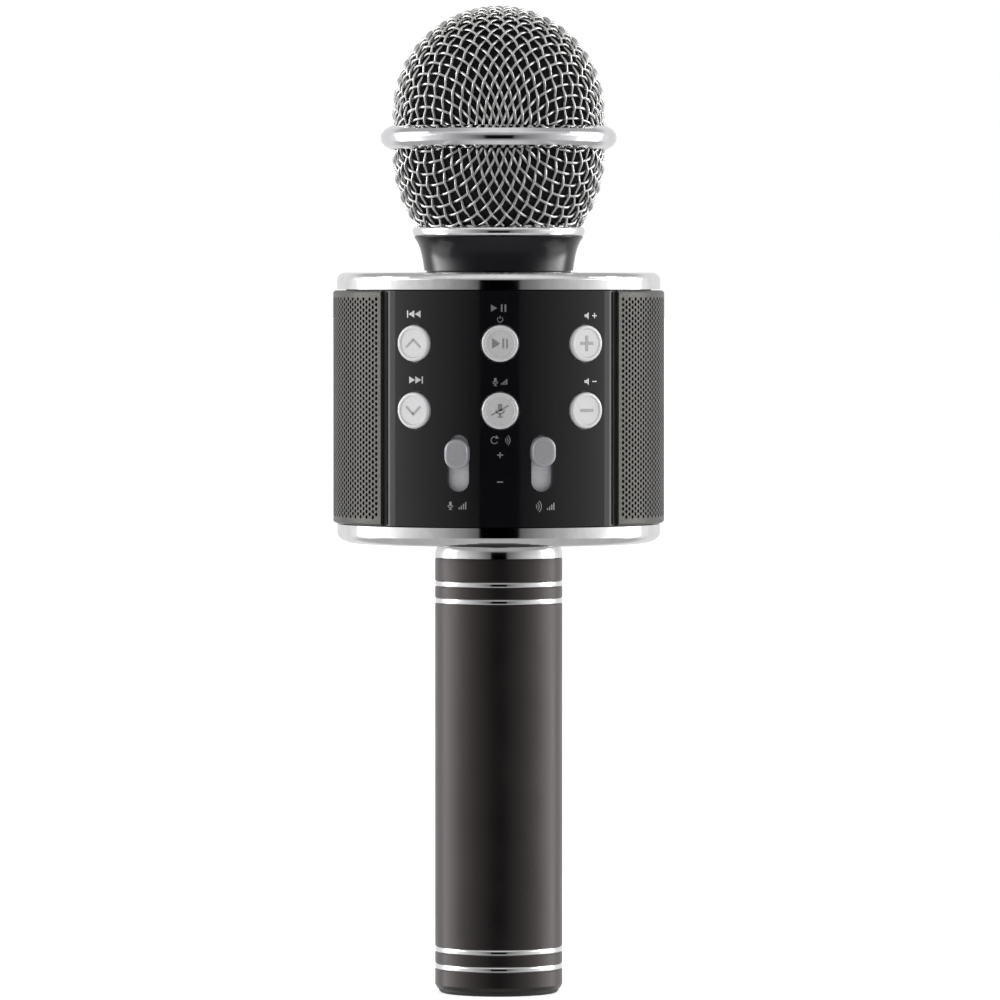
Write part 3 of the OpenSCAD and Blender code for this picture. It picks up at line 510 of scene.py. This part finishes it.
def grille_piece(name, node, side):
    """A curved sheet pierced with staggered round holes, and a rolled lip along its upper and lower edge.

    Each hole sits in a cell one column wide and two half rows high, and every second column starts half a row higher.
    """
    span = 2 * (90 - GRILLE_ANGLE)
    arc = math.radians(span) * GRILLE_R
    columns = int((arc - PLAIN_EDGE) / COLUMN)
    margin = (arc - columns * COLUMN) / 2
    lines = [0, *[margin + COLUMN * k for k in range(columns + 1)], arc]
    bottom, top = GRILLE_LOW + SHEET_INSET, GRILLE_TOP - SHEET_INSET
    rows = int((top - bottom - PLAIN_EDGE) / ROW - 0.5)
    first = (bottom + top - (rows + 0.5) * ROW) / 2
    levels = [bottom, *[first + ROW / 2 * m for m in range(2 * rows + 2)], top]
    verts, faces = [], []

    def place(u, z, depth):
        a = math.radians(GRILLE_ANGLE) + u / GRILLE_R
        r = GRILLE_R - depth
        return (side * r * math.sin(a), -r * math.cos(a), z)

    def outward(face):
        faces.append(face if side > 0 else face[::-1])

    def both(front, back):
        outward(front)
        outward(back[::-1])

    index = {}
    for layer, depth in enumerate((0.0, GRILLE_T)):
        for k, u in enumerate(lines):
            for m, z in enumerate(levels):
                index[layer, k, m] = len(verts)
                verts.append(place(u, z, depth))

    def quad(k, m):
        both(*[tuple(index[layer, a, b] for a, b in ((k, m), (k + 1, m), (k + 1, m + 1), (k, m + 1)))
               for layer in (0, 1)])

    last = len(levels) - 1
    for k in range(len(lines) - 1):
        quad(k, 0)
        quad(k, last - 1)
        if k in (0, len(lines) - 2):
            for m in range(1, last - 1):
                quad(k, m)
            continue
        shift = k % 2
        quad(k, 1 if shift else last - 2)
        middle_u = (lines[k] + lines[k + 1]) / 2
        for r in range(rows):
            m = 1 + 2 * r + shift
            z = levels[m + 1]
            rim = [(k + 1, m + 1), (k + 1, m + 2), (k, m + 2), (k, m + 1), (k, m), (k + 1, m)]
            rings = []
            for layer, depth in enumerate((0.0, GRILLE_T)):
                start = len(verts)
                for h in range(HOLE_SIDES):
                    a = 2 * math.pi * h / HOLE_SIDES
                    verts.append(place(middle_u + HOLE_R * math.cos(a), z + HOLE_R * math.sin(a), depth))
                rings.append(start)
            for e in range(6):
                for h in (2 * e, 2 * e + 1):
                    n = (h + 1) % HOLE_SIDES
                    both(*[(index[(layer, *rim[e])], rings[layer] + n, rings[layer] + h)
                           if h % 2 == 0 else
                           (index[(layer, *rim[e])], index[(layer, *rim[(e + 1) % 6])], rings[layer] + h)
                           for layer in (0, 1)])
                h = 2 * e + 1
                n = (h + 1) % HOLE_SIDES
                both(*[(index[(layer, *rim[(e + 1) % 6])], rings[layer] + n, rings[layer] + h) for layer in (0, 1)])
            for h in range(HOLE_SIDES):
                n = (h + 1) % HOLE_SIDES
                outward((rings[0] + h, rings[0] + n, rings[1] + n, rings[1] + h))
    edge = [(k, 0) for k in range(len(lines))] + [(len(lines) - 1, m) for m in range(1, last + 1)]
    edge += [(k, last) for k in range(len(lines) - 2, -1, -1)] + [(0, m) for m in range(last - 1, 0, -1)]
    for a, b in zip(edge, edge[1:] + edge[:1]):
        outward((index[(0, *a)], index[(1, *a)], index[(1, *b)], index[(0, *b)]))

    # Rolled lips
    corner = [(GRILLE_R - LIP_BEND + LIP_BEND * math.cos(a), LIP_BEND - LIP_BEND * math.sin(a))
              for a in np.linspace(0, math.pi / 2, 7)]
    profile = [*corner, (LIP_R, 0), (LIP_R, LIP_T), (GRILLE_R - 0.85, LIP_T), (GRILLE_R - 0.72, LIP_BEND)]
    for low, flip in ((GRILLE_LOW, 1), (GRILLE_TOP, -1)):
        base = len(verts)
        for s in range(LIP_STEPS + 1):
            a = math.radians(GRILLE_ANGLE + span * s / LIP_STEPS)
            for r, h in profile:
                verts.append((side * r * math.sin(a), -r * math.cos(a), low + flip * h))
        n = len(profile)
        turn = side * flip > 0
        for s in range(LIP_STEPS):
            for q in range(n):
                a, b = base + s * n + q, base + s * n + (q + 1) % n
                face = (a, a + n, b + n, b)
                faces.append(face[::-1] if turn else face)
        caps = [tuple(base + q for q in range(n)), tuple(base + LIP_STEPS * n + q for q in range(n))[::-1]]
        faces.extend(c[::-1] if turn else c for c in caps)
    build(name, verts, faces, "grille_metal", "housing", (node,), smooth=False)


grille_piece("left_grille_pierced", "left_grille", -1)
grille_piece("right_grille_pierced", "right_grille", 1)


# ---------------------------------------------------------------- symbols

BEND_STEP = 0.45                     # width of the strips that a shape on a round surface is cut into


def rect(x0, y0, x1, y1):
    return [(x0, y0), (x1, y0), (x1, y1), (x0, y1)]


def bar(x0, y0, x1, y1, width):
    """A straight stroke between two points."""
    dx, dy = x1 - x0, y1 - y0
    size = math.hypot(dx, dy)
    nx, ny = -dy / size * width / 2, dx / size * width / 2
    return [(x0 - nx, y0 - ny), (x1 - nx, y1 - ny), (x1 + nx, y1 + ny), (x0 + nx, y0 + ny)]


def bow(cx, cy, r, width, start, end, steps=10):
    """A curved stroke, in degrees."""
    angles = [math.radians(start + (end - start) * i / steps) for i in range(steps + 1)]
    outer = [(cx + (r + width / 2) * math.cos(a), cy + (r + width / 2) * math.sin(a)) for a in angles]
    inner = [(cx + (r - width / 2) * math.cos(a), cy + (r - width / 2) * math.sin(a)) for a in reversed(angles)]
    return [outer[i:i + 2] + inner[steps - i - 1:steps - i + 1] for i in range(steps)]


def disc(r, sides=14):
    return [(r * math.cos(2 * math.pi * i / sides), r * math.sin(2 * math.pi * i / sides)) for i in range(sides)]


def moved(shapes, dx, dy, size=1.0):
    return [[(x * size + dx, y * size + dy) for x, y in shape] for shape in shapes]


def plate(name, shapes, angle, z, face_r, look, body, curved, proud=0.04, root=0.12):
    """Flat shapes as thin closed solids standing a little proud of a button's face or of a round surface."""
    bm = bmesh.new()
    for shape in shapes:
        area = sum(a[0] * b[1] - b[0] * a[1] for a, b in zip(shape, shape[1:] + shape[:1]))
        outline = shape if area > 0 else shape[::-1]
        face = bm.faces.new([bm.verts.new((x, y, -root)) for x, y in outline])
        out = bmesh.ops.extrude_face_region(bm, geom=[face])
        for v in out["geom"]:
            if isinstance(v, bmesh.types.BMVert):
                v.co.z = proud
    if curved:
        lo = min(v.co.x for v in bm.verts)
        hi = max(v.co.x for v in bm.verts)
        for cut in np.arange(lo + BEND_STEP, hi - 0.05, BEND_STEP):
            bmesh.ops.bisect_plane(bm, geom=bm.verts[:] + bm.edges[:] + bm.faces[:], plane_co=(cut, 0, 0),
                                   plane_no=(1, 0, 0))
    bmesh.ops.recalc_face_normals(bm, faces=bm.faces[:])
    turn = math.radians(angle)
    for v in bm.verts:
        x, y, h = v.co
        r = face_r + h
        if curved:
            a = turn + x / face_r
            v.co = Vector((r * math.sin(a), -r * math.cos(a), z + y)) * MM
        else:
            v.co = Vector((r * math.sin(turn) + x * math.cos(turn),
                           -r * math.cos(turn) + x * math.sin(turn), z + y)) * MM
    mesh = bpy.data.meshes.new(name)
    bm.to_mesh(mesh)
    bm.free()
    placed(name, mesh, look, body)


TRIANGLE = [(-0.8, -0.9), (0.8, 0), (-0.8, 0.9)]
MIC = [rect(-0.32, -0.1, 0.32, 0.95), *bow(0, 0.1, 0.62, 0.2, 180, 360, 8), rect(-0.1, -0.9, 0.1, -0.5),
       rect(-0.42, -1.05, 0.42, -0.88)]
HORN = [rect(-1.0, -0.35, -0.45, 0.35), [(-0.45, -0.35), (0.25, -0.9), (0.25, 0.9), (-0.45, 0.35)]]
PLUS = [rect(-0.75, -0.16, 0.75, 0.16), rect(-0.16, 0.16, 0.16, 0.75), rect(-0.16, -0.75, 0.16, -0.16)]
MINUS = [rect(-0.75, -0.16, 0.75, 0.16)]
BACK = [rect(-2.3, -0.9, -1.95, 0.9), [(-1.85, 0), (-0.15, -0.9), (-0.15, 0.9)],
        [(-0.05, 0), (1.65, -0.9), (1.65, 0.9)]]
AHEAD = [[(-x, y) for x, y in shape] for shape in BACK]
LOOP = [*bow(0, 0, 0.85, 0.24, 60, 330, 16), [(0.15, 0.35), (1.15, 0.45), (0.5, 1.2)]]
WAVES = [*bow(-0.9, 0, 0.7, 0.24, -50, 50, 8), *bow(-0.9, 0, 1.35, 0.24, -50, 50, 10),
         *bow(-0.9, 0, 2.0, 0.24, -50, 50, 12)]
LEVEL = [rect(0.55 * i, -0.9, 0.55 * i + 0.32, -0.9 + 0.45 * (i + 1)) for i in range(4)]
POWER = [*bow(0, 0, 0.75, 0.22, 125, 415, 14), rect(-0.12, 0.15, 0.12, 1.0)]

# The printed symbols: name, shapes, degrees from the front, height in millimetres
UPPER_LABEL = 172.2
MIDDLE_LABEL = 155.4
for name, shapes, angle, z in (
    ("label_previous", BACK, -30.6, UPPER_LABEL),
    ("label_next", AHEAD, -30.6, MIDDLE_LABEL + 0.4),
    ("label_play", [*moved([TRIANGLE], -1.5, 0), rect(0.2, -0.9, 0.6, 0.9), rect(1.1, -0.9, 1.5, 0.9)], 0, 173.7),
    ("label_power", moved(POWER, 0, 0, 0.9), 0, 170.9),
    ("label_volume_up", [*moved(HORN, -0.9, 0), *moved(PLUS, 1.1, 0, 0.9)], 33.0, UPPER_LABEL - 0.4),
    ("label_volume_down", [*moved(HORN, -0.9, 0), *moved(MINUS, 1.1, 0, 0.9)], 33.0, MIDDLE_LABEL),
    ("label_mic", [*moved(MIC, -1.2, 0), *moved(LEVEL, 0.2, 0, 0.8)], 0, MIDDLE_LABEL),
    ("label_replay", [*moved(LOOP, -1.4, 0), *moved(WAVES, 1.6, 0, 0.8)], 0, 140.9),
    ("label_plus", PLUS, 0, 137.2),
    ("label_minus", MINUS, 0, 130.5),
    ("label_mic_volume", [*moved(MIC, -2.0, 0), *moved(LEVEL, 0.1, 0)], -KNOB_ANGLE, 124.6),
    ("label_echo", [*moved(WAVES, -1.2, 0, 0.9), *moved(LEVEL, 1.2, 0)], 14.6, 124.4),
):
    plate(name, shapes, angle, z, PANEL_R, "print_silver", "housing", True)

# The symbols raised a little on the dished faces of the buttons
CHEVRON = [bar(-2.1, -1.0, 0.16, 1.05, 0.6), bar(-0.16, 1.05, 2.1, -1.0, 0.6)]
PLAY_PAUSE = [[(-2.0, -1.35), (0.0, 0), (-2.0, 1.35)], rect(0.55, -1.2, 0.95, 1.2), rect(1.5, -1.2, 1.9, 1.2)]
for name, shapes, angle in (
    ("previous_button", CHEVRON, -BUTTON_ANGLE),
    ("next_button", [[(x, -y) for x, y in shape] for shape in CHEVRON], -BUTTON_ANGLE),
    ("play_button", PLAY_PAUSE, 0),
    ("replay_button", [*moved(MIC, 0, 0.1, 1.7), bar(-2.2, -1.1, 2.1, 1.3, 0.32)], 0),
    ("volume_up_button", moved(PLUS, 0, 0, 2.6), BUTTON_ANGLE),
    ("volume_down_button", moved(MINUS, 0, 0, 2.6), BUTTON_ANGLE),
    ("mode_button", [*bow(0, 0, 1.6, 0.4, 0, 360, 24), disc(0.55)], 204),
):
    plate(name + "_symbol", shapes, angle, middle_z(name), DISH_R, "symbol_grey", name, False,
          proud=0.05)

# Painted light: a pale plate on each slider's dust shield, paler than the knob's grey, paints out the shade that falls
# in the recessed slot
SHIELD_HALF_W = 3.6
for name, angle in (("mic_volume_knob", -KNOB_ANGLE), ("echo_knob", KNOB_ANGLE)):
    half = (top_z(name) - low_z(name)) / 2 - 0.1
    plate(name + "_shield_painted_light", [rect(-SHIELD_HALF_W, -half, SHIELD_HALF_W, half)], angle, middle_z(name), SHIELD_R,
          "shield_painted_light", name, True)


# ---------------------------------------------------------------- inner leads

HOLDER_TOP = top_z("battery_holder")
STUB_LOW = low_z("handle_stub")
BOARD_LOW = low_z("main_board")
BOARD_TOP = top_z("main_board")
SPEAKER_Z = (GRILLE_LOW + GRILLE_TOP) / 2
LID_LOW = low_z("frame_lid")
DRUM_TOP = top_z("top_cap")
CAPSULE_LOW = low_z("mic_capsule")

# For each CAD node: the radius of its wires, and the points that each wire passes
leads = {
    "capsule_leads": (0.44, [
        [(s * 1.5, -1, BOARD_TOP - 4), (s * 1.5, -1, LID_LOW), (s * 1.2, 0.6, DRUM_TOP + 4),
         (s * 1.45, 0, CAPSULE_LOW - 0.1)]
        for s in (-1, 1)]),
    "speaker_leads": (0.39, [
        [(s * 1.3, -12 - o, SPEAKER_Z - 16), (s * 6, -15 - o, SPEAKER_Z - 18), (s * 14, -15 - o, SPEAKER_Z - 12),
         (s * 16.7, -13 - o / 2, SPEAKER_Z - 4 - o)]
        for s in (-1, 1) for o in (0, 2.4)]),
    "battery_leads": (0.54, [
        [(s * 6, 6, HOLDER_TOP - 2.9), (s * 6, 6, STUB_LOW), (s * 5.9, 5.8, STUB_LOW + 6),
         (s * 1.7, 0.6, BOARD_LOW + 3.8)]
        for s in (-1, 1)]),
}
for node, (radius, routes) in leads.items():
    v, f = tubes([smooth_route(route, 12) for route in routes], radius, 12)
    build(node + "_run", v, f, "wire_insulation", "housing", (node,))


# ---------------------------------------------------------------- camera, floor and light

AIM_X = 0.33 * MM
AIM_Z = 124.9 * MM
DISTANCE = 2.12
AZIMUTH = math.radians(-0.5)
ELEVATION = math.radians(1.575)
HALF_WIDTH = 126.7 * MM              # half the width of the view at the object

camera = bpy.data.cameras.new("camera")
camera.sensor_width = 36
camera.lens = camera.sensor_width / 2 / (HALF_WIDTH / DISTANCE)
camera.clip_start, camera.clip_end = 0.05, 100
eye = bpy.data.objects.new("camera", camera)
bpy.context.collection.objects.link(eye)
back = Vector((math.sin(AZIMUTH) * math.cos(ELEVATION), -math.cos(AZIMUTH) * math.cos(ELEVATION), math.sin(ELEVATION)))
eye.location = Vector((AIM_X, 0, AIM_Z)) + back * DISTANCE
eye.rotation_euler = back.to_track_quat("Z", "Y").to_euler()
scene = bpy.context.scene
scene.camera = eye
scene.view_settings.view_transform = "Standard"
scene.view_settings.look = "None"

# Pale floor, just below the object
FLOOR_HALF = 30
mesh = bpy.data.meshes.new("floor")
mesh.from_pydata([(x * FLOOR_HALF, y * FLOOR_HALF, 0) for x, y in ((-1, -1), (1, -1), (1, 1), (-1, 1))], [],
                 [(0, 1, 2, 3)])
floor = bpy.data.objects.new("floor", mesh)
bpy.context.collection.objects.link(floor)
floor.location.z = -0.02 * MM
mat, tree, shader = node_tree("floor_white")
shader.inputs["Base Color"].default_value = (0.9, 0.9, 0.9, 1)
shader.inputs["Roughness"].default_value = 0.9
shader.inputs["Specular IOR Level"].default_value = 0.0
shader.inputs["Emission Color"].default_value = (1, 1, 1, 1)
shader.inputs["Emission Strength"].default_value = 0.6
mesh.materials.append(mat)
floor.visible_glossy = False


# Brightness around the horizon and above it, from the object's front (0) to its back (180 degrees), on both sides
HORIZON = (
    (0, 0.0), (13.8, 0.0), (14.8, 0.12), (27, 0.25), (42, 0.42), (57, 0.6), (74, 0.85), (83, 1.1), (88, 1.7),
    (104, 1.7), (110, 2.4), (119, 2.4), (123, 0.95), (138, 0.8), (180, 0.8),
)
TOP_LIGHT = ((0, 0.8), (55, 0.75), (90, 0.45), (180, 0.43))
BRIGHTEST = 2.5                      # more than any brightness in the two tables
LOW_LIGHT = 0.45                     # brightness far below the horizon
HORIZON_EDGE = (20, 34)              # elevations over which the horizon's light gives way to that above and below
OPENING_LIGHT = 0.35                 # least brightness above the dark opening in front
OPENING_EDGE = (5, 12)
STRIP_LIGHT = 17.0                   # a narrow strip light just above the horizon, on each side
STRIP_AZIMUTH = ((42, 96), (108, 130))
STRIP_ELEVATION = ((7, 11), (10, 14))


def world_light():
    """A studio tent seen only by the object: a dark opening in front, and bright panels on each side."""
    world = bpy.data.worlds.new("tent")
    scene.world = world
    world.use_nodes = True
    tree = world.node_tree
    tree.nodes.clear()

    def calc(operation, *values):
        node = add(tree, "ShaderNodeMath", operation=operation)
        for socket, value in zip(node.inputs, values):
            if isinstance(value, (int, float)):
                socket.default_value = value
            else:
                tree.links.new(value, socket)
        return node.outputs[0]

    def around(table, azimuth):
        ramp = add(tree, "ShaderNodeValToRGB")
        stops = ramp.color_ramp.elements
        while len(stops) < len(table):
            stops.new(0.5)
        for stop, (angle, value) in zip(stops, table):
            stop.position = angle / 180
            stop.color = (*[value / BRIGHTEST] * 3, 1)
        tree.links.new(calc("DIVIDE", azimuth, math.pi), ramp.inputs["Fac"])
        return calc("MULTIPLY", ramp.outputs["Color"], BRIGHTEST)

    def beyond(value, low, high):
        node = add(tree, "ShaderNodeMapRange", interpolation_type="SMOOTHSTEP")
        node.inputs["From Min"].default_value = math.radians(low)
        node.inputs["From Max"].default_value = math.radians(high)
        tree.links.new(value, node.inputs["Value"])
        return node.outputs["Result"]

    def between(value, rise, fall):
        return calc("MULTIPLY", beyond(value, *rise), calc("SUBTRACT", 1.0, beyond(value, *fall)))

    def mixed(share, one, other):
        return calc("ADD", calc("MULTIPLY", calc("SUBTRACT", 1.0, share), one), calc("MULTIPLY", share, other))

    coords = add(tree, "ShaderNodeTexCoord")
    split = add(tree, "ShaderNodeSeparateXYZ")
    tree.links.new(coords.outputs["Generated"], split.inputs[0])
    x, y, z = split.outputs
    azimuth = calc("ABSOLUTE", calc("ARCTAN2", x, calc("MULTIPLY", y, -1.0)))
    elevation = calc("ARCSINE", z)
    light = around(HORIZON, azimuth)
    light = mixed(beyond(elevation, *HORIZON_EDGE), light, around(TOP_LIGHT, azimuth))
    light = mixed(beyond(calc("MULTIPLY", elevation, -1.0), *HORIZON_EDGE), light, LOW_LIGHT)
    light = calc("MAXIMUM", light, calc("MULTIPLY", beyond(elevation, *OPENING_EDGE), OPENING_LIGHT))
    strip = calc("MULTIPLY", between(azimuth, *STRIP_AZIMUTH), between(elevation, *STRIP_ELEVATION))
    light = calc("ADD", light, calc("MULTIPLY", strip, STRIP_LIGHT))
    path = add(tree, "ShaderNodeLightPath")
    seen = mixed(path.outputs["Is Camera Ray"], light, 1.0)
    background = add(tree, "ShaderNodeBackground")
    background.inputs["Color"].default_value = (1, 1, 1, 1)
    tree.links.new(seen, background.inputs["Strength"])
    output = add(tree, "ShaderNodeOutputWorld")
    tree.links.new(background.outputs[0], output.inputs[0])


world_light()

LAMP_SIZE = 1.0
LAMP_WATTS = 5.0
LAMP_AZIMUTH = math.radians(95)
LAMP_ELEVATION = math.radians(28)
LAMP_DISTANCE = 2.2
LAMP_AIM_Z = 0.18
for side in (-1, 1):
    lamp = bpy.data.lights.new(f"side_light_{'left' if side < 0 else 'right'}", "AREA")
    lamp.shape = "SQUARE"
    lamp.size = LAMP_SIZE
    lamp.energy = LAMP_WATTS
    lamp_obj = bpy.data.objects.new(lamp.name, lamp)
    bpy.context.collection.objects.link(lamp_obj)
    away = Vector((side * math.sin(LAMP_AZIMUTH) * math.cos(LAMP_ELEVATION),
                   -math.cos(LAMP_AZIMUTH) * math.cos(LAMP_ELEVATION), math.sin(LAMP_ELEVATION)))
    lamp_obj.location = Vector((0, 0, LAMP_AIM_Z)) + away * LAMP_DISTANCE
    lamp_obj.rotation_euler = away.to_track_quat("Z", "Y").to_euler()
